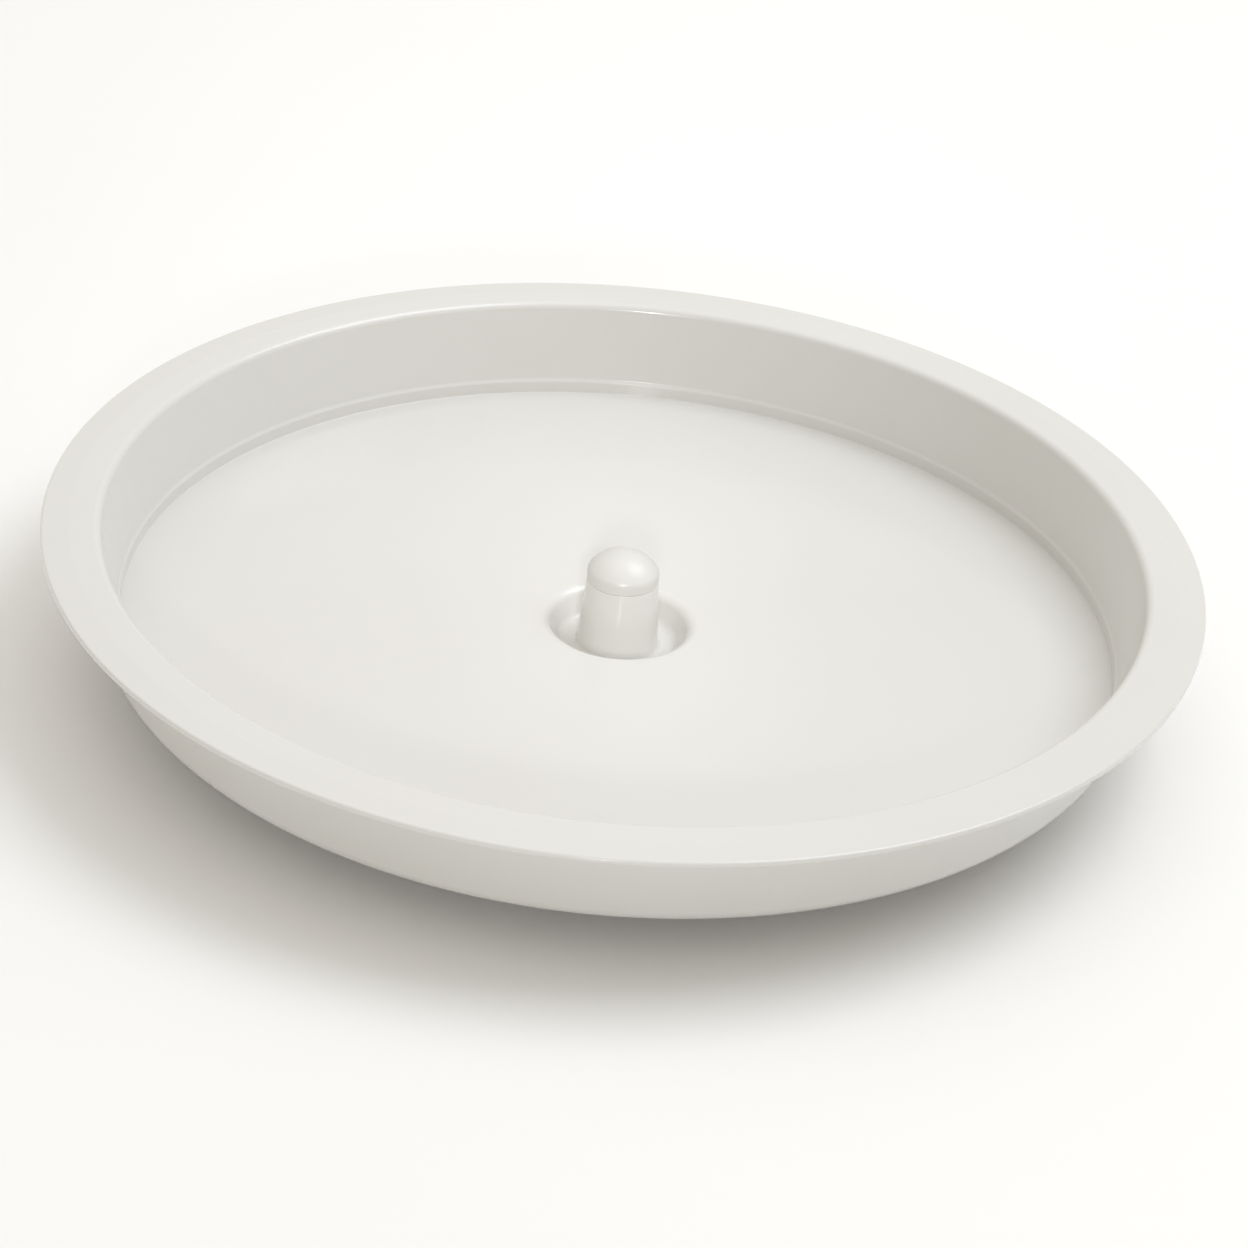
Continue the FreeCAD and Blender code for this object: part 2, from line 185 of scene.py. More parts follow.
def lathe(name, corners, segments=SEGMENTS, steps=ARC_STEPS, place=(0.0, 0.0)):
    """Mesh object that turns a closed outline about an upright axis; points on the axis become poles."""
    mesh = bmesh.new()
    rings = []
    for point in rounded_outline(corners, steps):
        radius, height = point.x * MM, point.y * MM
        if radius == 0:
            pole = mesh.verts.new((place[0] * MM, place[1] * MM, height))
            rings.append([pole] * segments)
            continue
        ring = []
        for index in range(segments):
            angle = 2 * math.pi * index / segments
            x = place[0] * MM + radius * math.cos(angle)
            y = place[1] * MM + radius * math.sin(angle)
            ring.append(mesh.verts.new((x, y, height)))
        rings.append(ring)
    for index, ring in enumerate(rings):
        following = rings[(index + 1) % len(rings)]
        for spot in range(segments):
            ahead = (spot + 1) % segments
            loop = [ring[spot], ring[ahead], following[ahead], following[spot]]
            distinct = list(dict.fromkeys(loop))
            if len(distinct) > 2:
                mesh.faces.new(distinct)
    bmesh.ops.recalc_face_normals(mesh, faces=mesh.faces)
    return new_object(name, mesh)


def rib_block(mesh, inner, outer, bottom, top, angle, rounding=0.35):
    """Adds one radial rib with rounded lower edges to a bmesh."""
    half = RIB_THICKNESS / 2
    corners = []
    for along in (inner, outer):
        for across in (-half, half):
            for height in (bottom, top):
                corners.append(mesh.verts.new(Vector((along, across, height)) * MM))
    quads = ((0, 1, 3, 2), (4, 6, 7, 5), (0, 4, 5, 1), (2, 3, 7, 6), (0, 2, 6, 4), (1, 5, 7, 3))
    for quad in quads:
        mesh.faces.new([corners[index] for index in quad])
    low = [corners[index] for index in (0, 2, 4, 6)]
    edges = [edge for edge in mesh.edges if edge.verts[0] in low and edge.verts[1] in low]
    bevelled = bmesh.ops.bevel(
        mesh, geom=edges, offset=rounding * MM, segments=3, affect="EDGES", profile=0.5,
    )
    made = set(bevelled["verts"]) | {corner for corner in corners if corner.is_valid}
    bmesh.ops.rotate(mesh, verts=list(made), cent=(0, 0, 0), matrix=Matrix.Rotation(angle, 3, "Z"))


def pin_mark(mesh, radius, x, y, bottom, top, segments=40):
    """Adds one short upright cylinder to a bmesh: an ejector or gate mark."""
    place = Matrix.Translation(Vector((x, y, (bottom + top) / 2)) * MM)
    bmesh.ops.create_cone(
        mesh, cap_ends=True, segments=segments, radius1=radius * MM, radius2=radius * MM,
        depth=(top - bottom) * MM, matrix=place,
    )


def circle_places(radius, count, first_angle=0.0):
    """X and Y of places spaced evenly round the axis."""
    places = []
    for index in range(count):
        angle = first_angle + 2 * math.pi * index / count
        places.append((radius * math.cos(angle), radius * math.sin(angle)))
    return places


def combine(piece, operand, operation):
    """Applies a boolean to a piece and deletes the operand."""
    modifier = piece.modifiers.new("boolean", "BOOLEAN")
    modifier.operation = operation
    modifier.solver = "MANIFOLD"
    modifier.object = operand
    graph = bpy.context.evaluated_depsgraph_get()
    result = bpy.data.meshes.new_from_object(piece.evaluated_get(graph))
    piece.modifiers.clear()
    piece.data = result
    bpy.data.objects.remove(operand)


def shade(piece):
    """Smooth shading that keeps real edges crisp and flat faces flat."""
    for polygon in piece.data.polygons:
        polygon.use_smooth = True
    piece.data.set_sharp_from_angle(angle=SMOOTH_ANGLE)
    weighting = piece.modifiers.new("weighted_normals", "WEIGHTED_NORMAL")
    weighting.keep_sharp = True
    weighting.weight = 80


# --- Pieces --------------------------------------------------------------------------------

def dish_outline():
    """Section of the dish: post, well, floor, stepped wall, rim flange, underside and upper race."""
    chamber_radius = 6.9
    post_top_radius = 8.3
    post_foot_radius = 9.6
    post_foot_rounding = 1.2
    well_top = WELL_UNDERSIDE_Z + 2.0
    well_foot_radius = WELL_RADIUS - 3.0
    well_wall = 2.2
    well_foot_rounding = 2.5
    well_lip_rounding = 3.0
    step_foot_radius = 115.1
    step_foot_rounding = 0.25
    step_edge_radius = 115.3
    step_top = FLOOR_Z + 3.7
    step_slope = 0.8
    step_rounding = 0.8
    wall_foot_radius = 115.8
    lip_radius = 120.0
    lip_rounding = 2.0
    wall_slope = (lip_radius - wall_foot_radius) / (RIM_Z - step_top)
    crown_radius = 127.0
    crown_rounding = 12.0
    edge_z = RIM_Z - 0.5
    edge_rounding = 0.7
    edge_height = 1.2
    root_drop = 2.6
    root_radius = lip_radius - wall_slope * root_drop + 2.7
    root_rounding = 1.6
    heel_radius = 119.0
    heel_rounding = 4.0
    ring_rib = 92.0
    corners = [
        (chamber_radius, CAP_SEAT_Z, SHARP),
        (post_top_radius, CAP_SEAT_Z, EDGE),
        (post_foot_radius, well_top, post_foot_rounding),
        (well_foot_radius, well_top, well_foot_rounding),
        (WELL_RADIUS, FLOOR_Z, well_lip_rounding),
        (step_foot_radius, FLOOR_Z, step_foot_rounding),
        (step_edge_radius, step_top - step_slope, step_rounding),
        (wall_foot_radius, step_top, step_rounding),
        (lip_radius, RIM_Z, lip_rounding),
        (crown_radius, RIM_Z, crown_rounding),
        (RIM_RADIUS, edge_z, edge_rounding),
        (RIM_RADIUS, edge_z - edge_height, EDGE),
        (root_radius, RIM_Z - root_drop, root_rounding),
        (heel_radius, FLOOR_UNDERSIDE_Z, heel_rounding),
        (ring_rib + RIB_THICKNESS, FLOOR_UNDERSIDE_Z, EDGE),
        (ring_rib + RIB_THICKNESS, DISH_KERB_Z, EDGE),
        (ring_rib, DISH_KERB_Z, EDGE),
        (ring_rib, FLOOR_UNDERSIDE_Z, EDGE),
        (KERB_OUTER + KERB_DRAFT, FLOOR_UNDERSIDE_Z, EDGE),
        (KERB_OUTER, DISH_KERB_Z, EDGE),
    ]
    corners += groove_corners(BALL_Z - GROOVE_OFFSET, DISH_KERB_Z)
    corners += [
        (KERB_INNER, DISH_KERB_Z, EDGE),
        (KERB_INNER - KERB_DRAFT, FLOOR_UNDERSIDE_Z, EDGE),
        (WELL_RADIUS + well_wall, FLOOR_UNDERSIDE_Z, well_lip_rounding),
        (well_foot_radius + well_wall, WELL_UNDERSIDE_Z, well_foot_rounding),
        (BUSH_RADIUS, WELL_UNDERSIDE_Z, EDGE),
        (BUSH_RADIUS, BUSH_SEAT_Z, SHARP),
        (chamber_radius, BUSH_SEAT_Z, SHARP),
    ]
    return corners


def build_tray():
    """The dish: turned section plus the ribs, ejector marks and gate marks under it."""
    outer_rib_end = 108.0
    ejector_radius, ejector_depth = 3.0, 0.15
    ejector_circles = ((102.0, RIB_COUNT), (80.0, RIB_COUNT), (40.0, 6))
    gate_radius, gate_depth = 1.1, 0.25
    gate_circle, gate_count = 12.0, 3
    rib_top = FLOOR_UNDERSIDE_Z + RIB_SINK
    tray = lathe("dish", dish_outline())
    ribs = bmesh.new()
    for index in range(RIB_COUNT):
        angle = 2 * math.pi * index / RIB_COUNT
        rib_block(ribs, WELL_RADIUS, KERB_INNER + RIB_SINK, DISH_KERB_Z, rib_top, angle)
        rib_block(ribs, KERB_OUTER - RIB_SINK, outer_rib_end, DISH_KERB_Z, rib_top, angle)
    for circle, count in ejector_circles:
        for x, y in circle_places(circle, count, HALF_STEP):
            pin_mark(ribs, ejector_radius, x, y, FLOOR_UNDERSIDE_Z - ejector_depth, rib_top)
    for x, y in circle_places(gate_circle, gate_count):
        pin_mark(ribs, gate_radius, x, y, WELL_UNDERSIDE_Z - gate_depth, WELL_UNDERSIDE_Z + RIB_SINK)
    combine(tray, new_object("dish_ribs", ribs), "UNION")
    return tray


def build_cap():
    """Domed cap with a plug that fits inside the top of the post."""
    radius = CAP_HIGH.x
    apex = CAP_HIGH.z
    dome_rise = 4.4
    side_top = apex - dome_rise
    dome_radius = (radius ** 2 + dome_rise ** 2) / (2 * dome_rise)
    dome_steps = 14
    dome_end = 0.88
    dome_edge_rounding = 2.2
    plug = 6.85
    cavity = plug - 1.3
    cavity_top = side_top - 1.5
    cavity_rounding = 0.6
    corners = []
    for step in range(dome_steps + 1):
        spread = radius * dome_end * step / dome_steps
        height = apex - dome_radius + math.sqrt(dome_radius ** 2 - spread ** 2)
        corners.append((spread, height, SHARP))
    corners += [
        (radius, side_top, dome_edge_rounding),
        (radius, CAP_SEAT_Z, EDGE),
        (plug, CAP_SEAT_Z, SHARP),
        (plug, CAP_LOW.z, EDGE),
        (cavity, CAP_LOW.z, 0.2),
        (cavity, cavity_top, cavity_rounding),
        (0, cavity_top, SHARP),
    ]
    return lathe("cap", corners, SMALL_SEGMENTS)


def build_bush():
    """Flanged bush with broken edges."""
    bore = 4.05
    corners = [
        (bore, BUSH_LOW.z, 0.25),
        (BUSH_RADIUS, BUSH_LOW.z, 0.4),
        (BUSH_RADIUS, BUSH_SEAT_Z, SHARP),
        (BUSH_HIGH.x, BUSH_SEAT_Z, 0.15),
        (BUSH_HIGH.x, BUSH_HIGH.z, 0.35),
        (bore, BUSH_HIGH.z, EDGE),
    ]
    return lathe("bush", corners, SMALL_SEGMENTS, SMALL_ARC_STEPS)


def build_washer():
    """Stamped washer: rounded on its punched-in side, with a slight burr on the other."""
    corners = [
        (SHANK_RADIUS, WASHER_LOW.z, 0.1),
        (WASHER_HIGH.x, WASHER_LOW.z, 0.08),
        (WASHER_HIGH.x, WASHER_HIGH.z, 0.28),
        (SHANK_RADIUS, WASHER_HIGH.z, 0.15),
    ]
    return lathe("washer", corners, SMALL_SEGMENTS, SMALL_ARC_STEPS)


def recess_slot(turn):
    """Tapered block that cuts one slot of a screw head's cross recess."""
    wide, narrow = (1.6, 0.38), (0.75, 0.25)
    heights = (SCREW_HIGH.z + 0.2, SCREW_HIGH.z - 1.2)
    mesh = bmesh.new()
    corners = []
    for (along, across), height in zip((wide, narrow), heights):
        for x, y in ((-along, -across), (along, -across), (along, across), (-along, across)):
            corners.append(mesh.verts.new(Vector((x, y, height)) * MM))
    for quad in ((0, 1, 2, 3), (7, 6, 5, 4), (0, 4, 5, 1), (1, 5, 6, 2), (2, 6, 7, 3), (3, 7, 4, 0)):
        mesh.faces.new([corners[index] for index in quad])
    bmesh.ops.recalc_face_normals(mesh, faces=mesh.faces)
    bmesh.ops.rotate(mesh, verts=mesh.verts, cent=(0, 0, 0), matrix=Matrix.Rotation(turn, 3, "Z"))
    return new_object("recess", mesh)


def build_screw():
    """Pan-head screw with a tapered cross recess."""
    tip_length = 1.6
    head_rounding = 0.9
    seat = WASHER_HIGH.z
    corners = [
        (0, SCREW_LOW.z, SHARP),
        (SHANK_RADIUS, SCREW_LOW.z + tip_length, EDGE),
        (SHANK_RADIUS, seat, SHARP),
        (SCREW_HIGH.x, seat, 0.12),
        (SCREW_HIGH.x, SCREW_HIGH.z, head_rounding),
        (0, SCREW_HIGH.z, SHARP),
    ]
    screw = lathe("screw", corners, SMALL_SEGMENTS)
    for turn in (0.0, math.pi / 2):
        combine(screw, recess_slot(turn), "DIFFERENCE")
    return screw


def base_outline():
    """Section of the base: drilled spigot, hub, plate, race kerb, lip and the ring ribs under it."""
    pilot_bottom = SCREW_LOW.z - 0.5
    spigot = 4.0
    spigot_top = WASHER_LOW.z
    spigot_edge_rounding = 0.5
    spigot_foot_rounding = 0.6
    hub_top = 4.2
    hub_foot_radius = 9.3
    lip_top = 5.2
    lip_rounding = 0.8
    bottom = BASE_LOW.z
    corners = [
        (0, pilot_bottom, SHARP),
        (SHANK_RADIUS, pilot_bottom, SHARP),
        (SHANK_RADIUS, spigot_top, 0.15),
        (spigot, spigot_top, spigot_edge_rounding),
        (spigot, hub_top, spigot_foot_rounding),
        (HUB_RING_RADIUS, hub_top, 0.2),
        (hub_foot_radius, PLATE_TOP_Z, EDGE),
        (KERB_INNER - KERB_DRAFT, PLATE_TOP_Z, EDGE),
        (KERB_INNER, BASE_KERB_Z, EDGE),
    ]
    corners += reversed(groove_corners(BALL_Z + GROOVE_OFFSET, BASE_KERB_Z))
    corners += [
        (KERB_OUTER, BASE_KERB_Z, EDGE),
        (KERB_OUTER + KERB_DRAFT, PLATE_TOP_Z, EDGE),
        (BASE_LIP_INNER, PLATE_TOP_Z, lip_rounding),
        (BASE_LIP_INNER, lip_top, lip_rounding),
        (BASE_RADIUS, lip_top, lip_rounding),
        (BASE_RADIUS, bottom, lip_rounding),
        (BASE_LIP_INNER, bottom, EDGE),
        (BASE_LIP_INNER, PLATE_UNDERSIDE_Z, EDGE),
    ]
    for ring in (54.0, 30.0):
        corners += [
            (ring + RIB_THICKNESS, PLATE_UNDERSIDE_Z, EDGE),
            (ring + RIB_THICKNESS, bottom, EDGE),
            (ring, bottom, EDGE),
            (ring, PLATE_UNDERSIDE_Z, EDGE),
        ]
    corners += [
        (HUB_RING_RADIUS, PLATE_UNDERSIDE_Z, EDGE),
        (HUB_RING_RADIUS, bottom, EDGE),
        (0, bottom, SHARP),
    ]
    return corners


def build_base():
    """The base moulding with its radial ribs, foot bosses, foot pockets and ejector marks."""
    rib_rounding = 0.25
    boss_wall = 1.6
    ejector_circle, ejector_radius, ejector_depth = 42.0, 2.5, 0.12
    pocket_clearance = 0.05
    pocket_overcut = 1.0
    bottom = BASE_LOW.z
    sunk = PLATE_UNDERSIDE_Z + RIB_SINK
    rib_start = HUB_RING_RADIUS - RIB_SINK
    rib_end = BASE_LIP_INNER + RIB_SINK
    base = lathe("base_moulding", base_outline())
    extras = bmesh.new()
    for index in range(RIB_COUNT):
        angle = HALF_STEP + 2 * math.pi * index / RIB_COUNT
        rib_block(extras, rib_start, rib_end, bottom, sunk, angle, rib_rounding)
    for x, y in circle_places(FOOT_CIRCLE, FOOT_COUNT):
        pin_mark(extras, FOOT_RADIUS + boss_wall, x, y, bottom, sunk, SMALL_SEGMENTS)
    for x, y in circle_places(ejector_circle, RIB_COUNT):
        pin_mark(extras, ejector_radius, x, y, PLATE_UNDERSIDE_Z - ejector_depth, sunk)
    combine(base, new_object("base_extras", extras), "UNION")
    pockets = bmesh.new()
    pocket_radius = FOOT_RADIUS + pocket_clearance
    for x, y in circle_places(FOOT_CIRCLE, FOOT_COUNT):
        pin_mark(pockets, pocket_radius, x, y, bottom - pocket_overcut, FOOT_HEIGHT, SMALL_SEGMENTS)
    combine(base, new_object("base_pockets", pockets), "DIFFERENCE")
    return base


def build_foot(index, place):
    """Rubber pad with two moulded rings in its sole."""
    sole_groove_depth = 0.3
    sole_groove_width = 0.8
    sole_groove_rounding = 0.1
    corners = [(0, 0, SHARP)]
    for inner in (1.8, 4.2):
        outer = inner + sole_groove_width
        corners += [
            (inner, 0, sole_groove_rounding),
            (inner, sole_groove_depth, sole_groove_rounding),
            (outer, sole_groove_depth, sole_groove_rounding),
            (outer, 0, sole_groove_rounding),
        ]
    corners += [
        (FOOT_RADIUS, 0, 0.5),
        (FOOT_RADIUS, FOOT_HEIGHT, 0.15),
        (0, FOOT_HEIGHT, SHARP),
    ]
    return lathe(f"foot_pad_{index}", corners, SMALL_SEGMENTS, 4, place)


# --- Materials -----------------------------------------------------------------------------

def shader_of(material):
    """The material's Principled shader."""
    return material.node_tree.nodes["Principled BSDF"]


def new_material(name, metallic=0.0, ior=1.5):
    """Node material with its Principled shader's constants set."""
    material = bpy.data.materials.new(name)
    material.use_nodes = True
    shader = shader_of(material)
    shader.inputs["Metallic"].default_value = metallic
    shader.inputs["IOR"].default_value = ior
    return material


def object_coordinates(tree):
    """Coordinates in metres, fixed to the piece."""
    return tree.nodes.new("ShaderNodeTexCoord").outputs["Object"]


def noise(tree, coordinates, scale, detail=2.0, roughness=0.5):
    """Noise value from 0 to 1 with features about one over scale metres wide."""
    node = tree.nodes.new("ShaderNodeTexNoise")
    node.inputs["Scale"].default_value = scale
    node.inputs["Detail"].default_value = detail
    node.inputs["Roughness"].default_value = roughness
    tree.links.new(coordinates, node.inputs["Vector"])
    return node.outputs["Fac"]


def remapped(tree, value, low, high, out_low, out_high):
    """Value stretched from one range to another and clamped."""
    node = tree.nodes.new("ShaderNodeMapRange")
    for socket, number in zip(("From Min", "From Max", "To Min", "To Max"), (low, high, out_low, out_high)):
        node.inputs[socket].default_value = number
    tree.links.new(value, node.inputs["Value"])
    return node.outputs["Result"]


def between(tree, factor, first, second):
    """Colour that runs from the first to the second as the factor goes from 0 to 1."""
    node = tree.nodes.new("ShaderNodeMix")
    node.data_type = "RGBA"
    node.inputs["A"].default_value = (*first, 1.0)
    node.inputs["B"].default_value = (*second, 1.0)
    tree.links.new(factor, node.inputs["Factor"])
    return node.outputs["Result"]


def bumped(tree, height, distance, normal=None):
    """Normal raised by a height value, in metres, on top of an earlier normal."""
    node = tree.nodes.new("ShaderNodeBump")
    node.inputs["Distance"].default_value = distance
    node.inputs["Strength"].default_value = 1.0
    tree.links.new(height, node.inputs["Height"])
    if normal is not None:
        tree.links.new(normal, node.inputs["Normal"])
    return node.outputs["Normal"]


def scaled(tree, coordinates, factors):
    """Coordinates stretched along each axis."""
    node = tree.nodes.new("ShaderNodeMapping")
    node.inputs["Scale"].default_value = factors
    tree.links.new(coordinates, node.inputs["Vector"])
    return node.outputs["Vector"]


def turning_coordinates(tree, coordinates):
    """Radius, angle and height about the Z axis, for marks that run round it."""
    split = tree.nodes.new("ShaderNodeSeparateXYZ")
    tree.links.new(coordinates, split.inputs[0])
    length = tree.nodes.new("ShaderNodeVectorMath")
    length.operation = "LENGTH"
    flat = tree.nodes.new("ShaderNodeCombineXYZ")
    tree.links.new(split.outputs["X"], flat.inputs["X"])
    tree.links.new(split.outputs["Y"], flat.inputs["Y"])
    tree.links.new(flat.outputs[0], length.inputs[0])
    angle = tree.nodes.new("ShaderNodeMath")
    angle.operation = "ARCTAN2"
    tree.links.new(split.outputs["Y"], angle.inputs[0])
    tree.links.new(split.outputs["X"], angle.inputs[1])
    joined = tree.nodes.new("ShaderNodeCombineXYZ")
    tree.links.new(length.outputs["Value"], joined.inputs["X"])
    tree.links.new(angle.outputs[0], joined.inputs["Y"])
    tree.links.new(split.outputs["Z"], joined.inputs["Z"])
    return joined.outputs[0]


def moulded_plastic(name, colour, roughness, grain=0.0, coat=0.0):
    """Injection-moulded plastic: slight mottling, flow waviness, soft smudges and fine grain."""
    waviness = 0.00012
    coat_roughness = 0.06
    material = new_material(name, ior=1.49)
    tree = material.node_tree
    shader = shader_of(material)
    coordinates = object_coordinates(tree)
    deeper = [channel * part for channel, part in zip(colour, (0.98, 0.977, 0.97))]
    mottling = remapped(tree, noise(tree, coordinates, scale=16, detail=3.0), 0.3, 0.7, 0.0, 1.0)
    tree.links.new(between(tree, mottling, deeper, colour), shader.inputs["Base Color"])
    smudges = noise(tree, coordinates, scale=24, detail=1.5, roughness=0.4)
    rough = remapped(tree, smudges, 0.3, 0.75, roughness - 0.02, roughness + 0.03)
    tree.links.new(rough, shader.inputs["Roughness"])
    normal = bumped(tree, noise(tree, coordinates, scale=22, detail=1.0), waviness)
    if grain:
        fine = noise(tree, coordinates, scale=1600, detail=2.0, roughness=0.6)
        normal = bumped(tree, fine, grain, normal)
    tree.links.new(normal, shader.inputs["Normal"])
    shader.inputs["Coat Weight"].default_value = coat
    shader.inputs["Coat Roughness"].default_value = coat_roughness
    return material


def turned_steel(name, colour, roughness):
    """Plated or ground steel with fine marks that run round the axis."""
    marks_per_metre = 2200
    mark_depth = 0.00001
    material = new_material(name, metallic=1.0)
    tree = material.node_tree
    shader = shader_of(material)
    coordinates = object_coordinates(tree)
    deeper = [channel * 0.82 for channel in colour]
    stains = noise(tree, coordinates, scale=420, detail=4.0, roughness=0.6)
    stained = remapped(tree, stains, 0.35, 0.7, 0.0, 1.0)
    tree.links.new(between(tree, stained, deeper, colour), shader.inputs["Base Color"])
    stretch = (marks_per_metre, 3, marks_per_metre)
    marks = noise(tree, scaled(tree, turning_coordinates(tree, coordinates), stretch), scale=1, detail=3.0)
    rough = remapped(tree, marks, 0.3, 0.7, roughness * 0.75, roughness * 1.3)
    tree.links.new(rough, shader.inputs["Roughness"])
    tree.links.new(bumped(tree, marks, mark_depth), shader.inputs["Normal"])
    return material


def polished_steel(name, colour, roughness):
    """Bearing-ball steel: bright, with faint polishing haze and fine pits."""
    pit_depth = 0.000002
    material = new_material(name, metallic=1.0)
    tree = material.node_tree
    shader = shader_of(material)
    coordinates = object_coordinates(tree)
    deeper = [channel * 0.9 for channel in colour]
    haze = noise(tree, coordinates, scale=700, detail=4.0, roughness=0.6)
    hazed = remapped(tree, haze, 0.35, 0.7, 0.0, 1.0)
    tree.links.new(between(tree, hazed, deeper, colour), shader.inputs["Base Color"])
    wear = noise(tree, coordinates, scale=1500, detail=3.0)
    rough = remapped(tree, wear, 0.3, 0.75, roughness * 0.6, roughness * 1.8)
    tree.links.new(rough, shader.inputs["Roughness"])
    pits = noise(tree, coordinates, scale=4000, detail=2.0)
    tree.links.new(bumped(tree, pits, pit_depth), shader.inputs["Normal"])
    return material


def moulded_rubber(name, colour, roughness):
    """Matte rubber with a bloom on its surface and a fine moulded grain."""
    grain_depth = 0.00003
    material = new_material(name, ior=1.52)
    tree = material.node_tree
    shader = shader_of(material)
    coordinates = object_coordinates(tree)
    paler = [channel * 1.35 for channel in colour]
    bloom = noise(tree, coordinates, scale=260, detail=5.0, roughness=0.65)
    bloomed = remapped(tree, bloom, 0.4, 0.75, 0.0, 1.0)
    tree.links.new(between(tree, bloomed, colour, paler), shader.inputs["Base Color"])
    wear = noise(tree, coordinates, scale=1200, detail=3.0)
    rough = remapped(tree, wear, 0.3, 0.7, roughness - 0.06, roughness + 0.06)
    tree.links.new(rough, shader.inputs["Roughness"])
    grain = noise(tree, coordinates, scale=2400, detail=3.0, roughness=0.6)
    tree.links.new(bumped(tree, grain, grain_depth), shader.inputs["Normal"])
    return material


# --- Assembly ------------------------------------------------------------------------------

def install(piece, node, body, material):
    """Puts a finished piece in place of a CAD node, on that node's body and material slot."""
    shade(piece)
    piece.data.materials.clear()
    piece.data.materials.append(material)
    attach(piece, body)
    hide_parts(node)


def repaint(node, material):
    """Gives a CAD node that stays visible its finished material and smooth shading."""
    piece = frame["nodes"][node]
    for polygon in piece.data.polygons:
        polygon.use_smooth = True
    piece.data.set_sharp_from_angle(angle=SMOOTH_ANGLE)
    piece.data.materials.clear()
    piece.data.materials.append(material)


dish_plastic = moulded_plastic(
    "warm_white_plastic", (0.745, 0.737, 0.71), roughness=0.24, grain=0.000004, coat=0.35,
)
cap_plastic = moulded_plastic("cap_plastic", (0.70, 0.69, 0.665), roughness=0.32, coat=0.1)
base_plastic = moulded_plastic("base_plastic", (0.74, 0.72, 0.67), roughness=0.42, grain=0.00001)
acetal = moulded_plastic("acetal", (0.76, 0.75, 0.71), roughness=0.36, grain=0.000003)
zinc_plate = turned_steel("zinc_plate", (0.62, 0.62, 0.60), roughness=0.30)
ball_steel = polished_steel("ball_steel", (0.68, 0.68, 0.69), roughness=0.08)
foot_rubber = moulded_rubber("foot_rubber", (0.12, 0.12, 0.12), roughness=0.72)

install(build_tray(), "tray", "tray", dish_plastic)
install(build_cap(), "post_cap", "tray", cap_plastic)
install(build_bush(), "pivot_bush", "tray", acetal)
install(build_washer(), "retaining_washer", "base", zinc_plate)
install(build_screw(), "pivot_screw", "base", zinc_plate)
install(build_base(), "base", "base", base_plastic)
for number, place in enumerate(circle_places(FOOT_CIRCLE, FOOT_COUNT), start=1):
    install(build_foot(number, place), f"foot_{number}", "base", foot_rubber)
repaint("ball_cage", acetal)
for number in range(1, BALL_COUNT + 1):
    repaint(f"ball_{number:02d}", ball_steel)


# --- Studio --------------------------------------------------------------------------------

def studio_floor():
    """Large pale floor just under the feet."""
    radius = 6.0
    drop = 0.05 * MM
    mesh = bmesh.new()
    bmesh.ops.create_circle(mesh, cap_ends=True, radius=radius, segments=SMALL_SEGMENTS)
    floor = new_object("studio_floor", mesh)
    floor.location.z = -drop
    material = new_material("pale_floor")
    tree = material.node_tree
    shader = shader_of(material)
    shader.inputs["Roughness"].default_value = 0.9
    tint = remapped(tree, noise(tree, object_coordinates(tree), scale=3), 0.3, 0.7, 0.0, 1.0)
    colour = between(tree, tint, (0.94, 0.935, 0.925), (0.96, 0.955, 0.945))
    tree.links.new(colour, shader.inputs["Base Color"])
    floor.data.materials.append(material)


def add_lamp(name, data, place, target):
    """Lamp linked to the scene and turned to face a target, both in metres."""
    lamp = bpy.data.objects.new(name, data)
    bpy.context.scene.collection.objects.link(lamp)
    lamp.location = place
    aim = Vector(target) - Vector(place)
    lamp.rotation_euler = aim.to_track_quat("-Z", "Y").to_euler()


def soft_light(name, place, size, power, colour):
    """Square area light aimed at the dish."""
    data = bpy.data.lights.new(name, "AREA")
    data.shape = "SQUARE"
    data.size = size
    data.energy = power
    data.color = colour
    add_lamp(name, data, place, (0, 0, RIM_Z * MM))


def accent_light(name, place, target, spread, power, softness):
    """Narrow soft-edged spot aimed at one part of the dish."""
    data = bpy.data.lights.new(name, "SPOT")
    data.energy = power
    data.spot_size = spread
    data.spot_blend = 1.0
    data.shadow_soft_size = softness
    add_lamp(name, data, place, target)


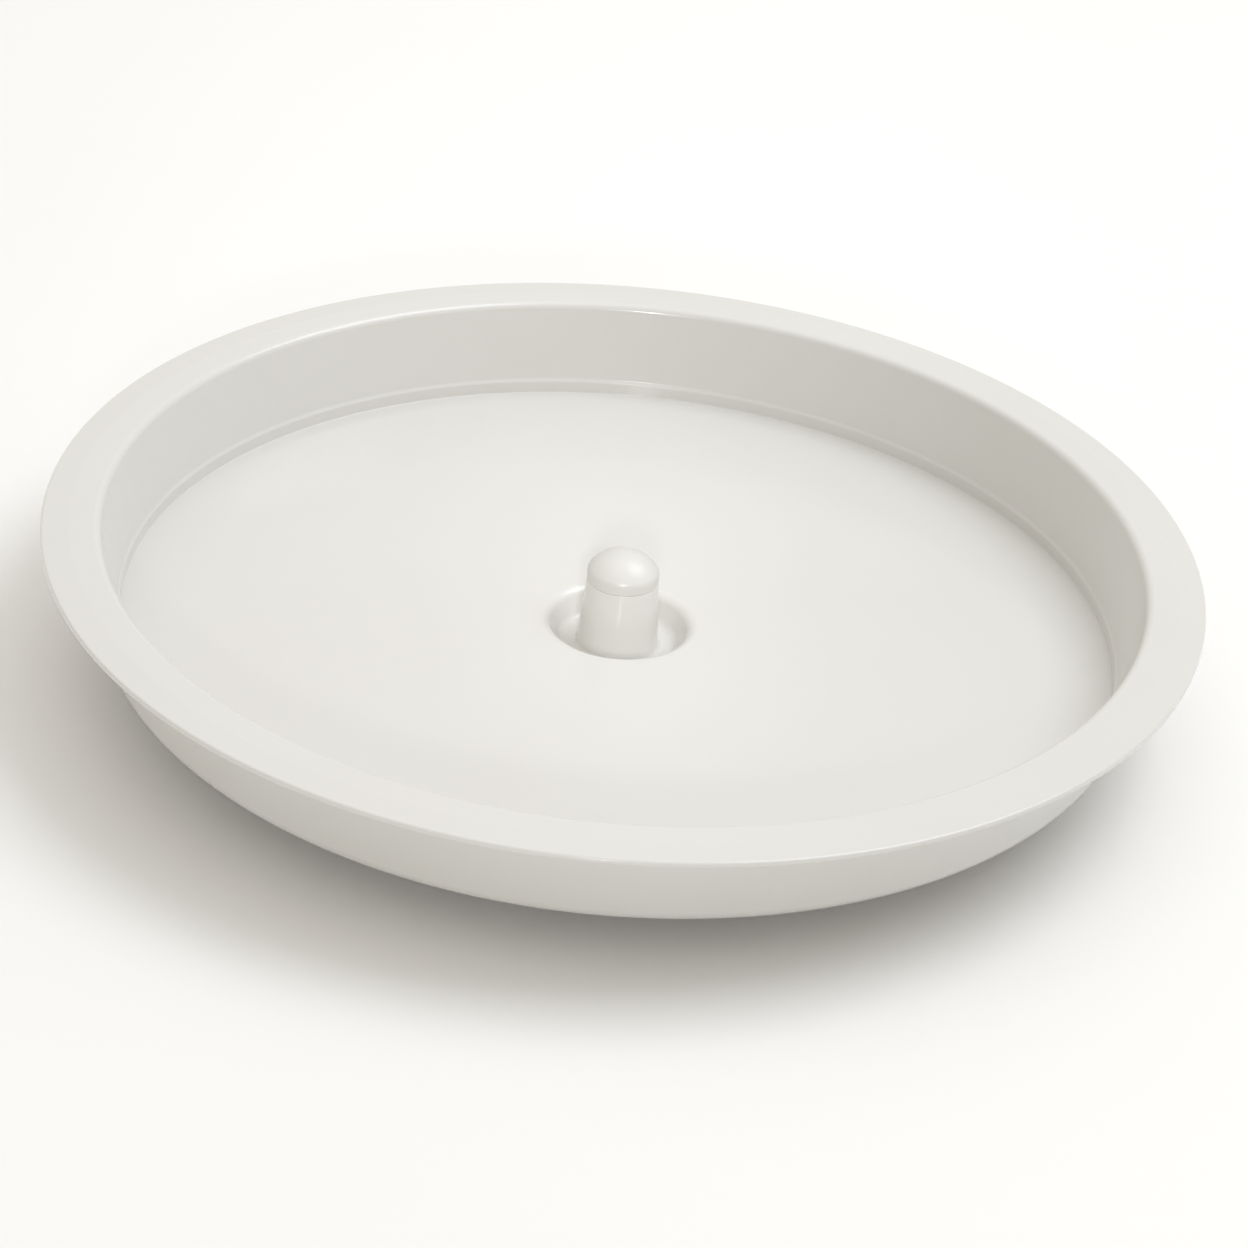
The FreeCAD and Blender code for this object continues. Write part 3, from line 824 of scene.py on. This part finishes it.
def surrounding_light(colour, levels, front, rear):
    """Light from all round: (height of the direction, level) pairs, weaker in front than behind."""
    world = bpy.data.worlds.new("studio")
    world.use_nodes = True
    tree = world.node_tree
    split = tree.nodes.new("ShaderNodeSeparateXYZ")
    tree.links.new(tree.nodes.new("ShaderNodeTexCoord").outputs["Generated"], split.inputs[0])
    ramp = tree.nodes.new("ShaderNodeValToRGB")
    stops = ramp.color_ramp.elements
    stops[0].position, stops[1].position = levels[0][0], levels[-1][0]
    for position, _ in levels[1:-1]:
        stops.new(position)
    for stop, (_, level) in zip(stops, levels):
        stop.color = (*[channel * level for channel in colour], 1.0)
    tree.links.new(split.outputs["Z"], ramp.inputs["Fac"])
    tree.links.new(ramp.outputs["Color"], tree.nodes["Background"].inputs["Color"])
    strength = remapped(tree, split.outputs["Y"], -1.0, 1.0, front, rear)
    tree.links.new(strength, tree.nodes["Background"].inputs["Strength"])
    bpy.context.scene.world = world


def set_camera():
    """Camera above and in front of the dish, tilted a little to one side, with a long lens."""
    elevation = math.radians(30.37)
    roll = math.radians(5.48)
    aside, lift, back = -0.66 * MM, -20.3 * MM, 873.0 * MM
    rim_edge_drop = 0.6
    data = bpy.data.cameras.new("camera")
    data.lens = 109.6
    data.sensor_width = 36.0
    data.clip_start, data.clip_end = 0.01, 50.0
    camera = bpy.data.objects.new("camera", data)
    bpy.context.scene.collection.objects.link(camera)
    turn = Matrix.Rotation(math.pi / 2 - elevation, 4, "X") @ Matrix.Rotation(roll, 4, "Z")
    aim = Matrix.Translation((0, 0, (RIM_Z - rim_edge_drop) * MM))
    camera.matrix_world = aim @ turn @ Matrix.Translation((aside, lift, back))
    bpy.context.scene.camera = camera


WARM = (1.0, 0.965, 0.90)
COOL = (0.87, 0.92, 1.0)
SKY_LEVELS = ((0.0, 0.72), (0.12, 0.70), (0.2, 0.60), (1.0, 0.85))
POST_MIDDLE = (0, 0, 0.02)
FAR_WALL = (-0.02, 0.115, 0.028)

studio_floor()
surrounding_light(WARM, SKY_LEVELS, front=0.70, rear=1.25)
soft_light("key", (0.8, 0.2, 1.5), size=1.0, power=11.5, colour=COOL)
soft_light("top", (-0.1, 0.2, 1.7), size=1.2, power=2.0, colour=COOL)
accent_light("post_accent", (0.09, -0.86, 0.50), POST_MIDDLE, math.radians(4.5), power=10.0, softness=0.03)
accent_light("wall_accent", (0.0, -0.95, 0.40), FAR_WALL, math.radians(15), power=9.0, softness=0.05)
set_camera()
bpy.context.scene.view_settings.view_transform = "Standard"
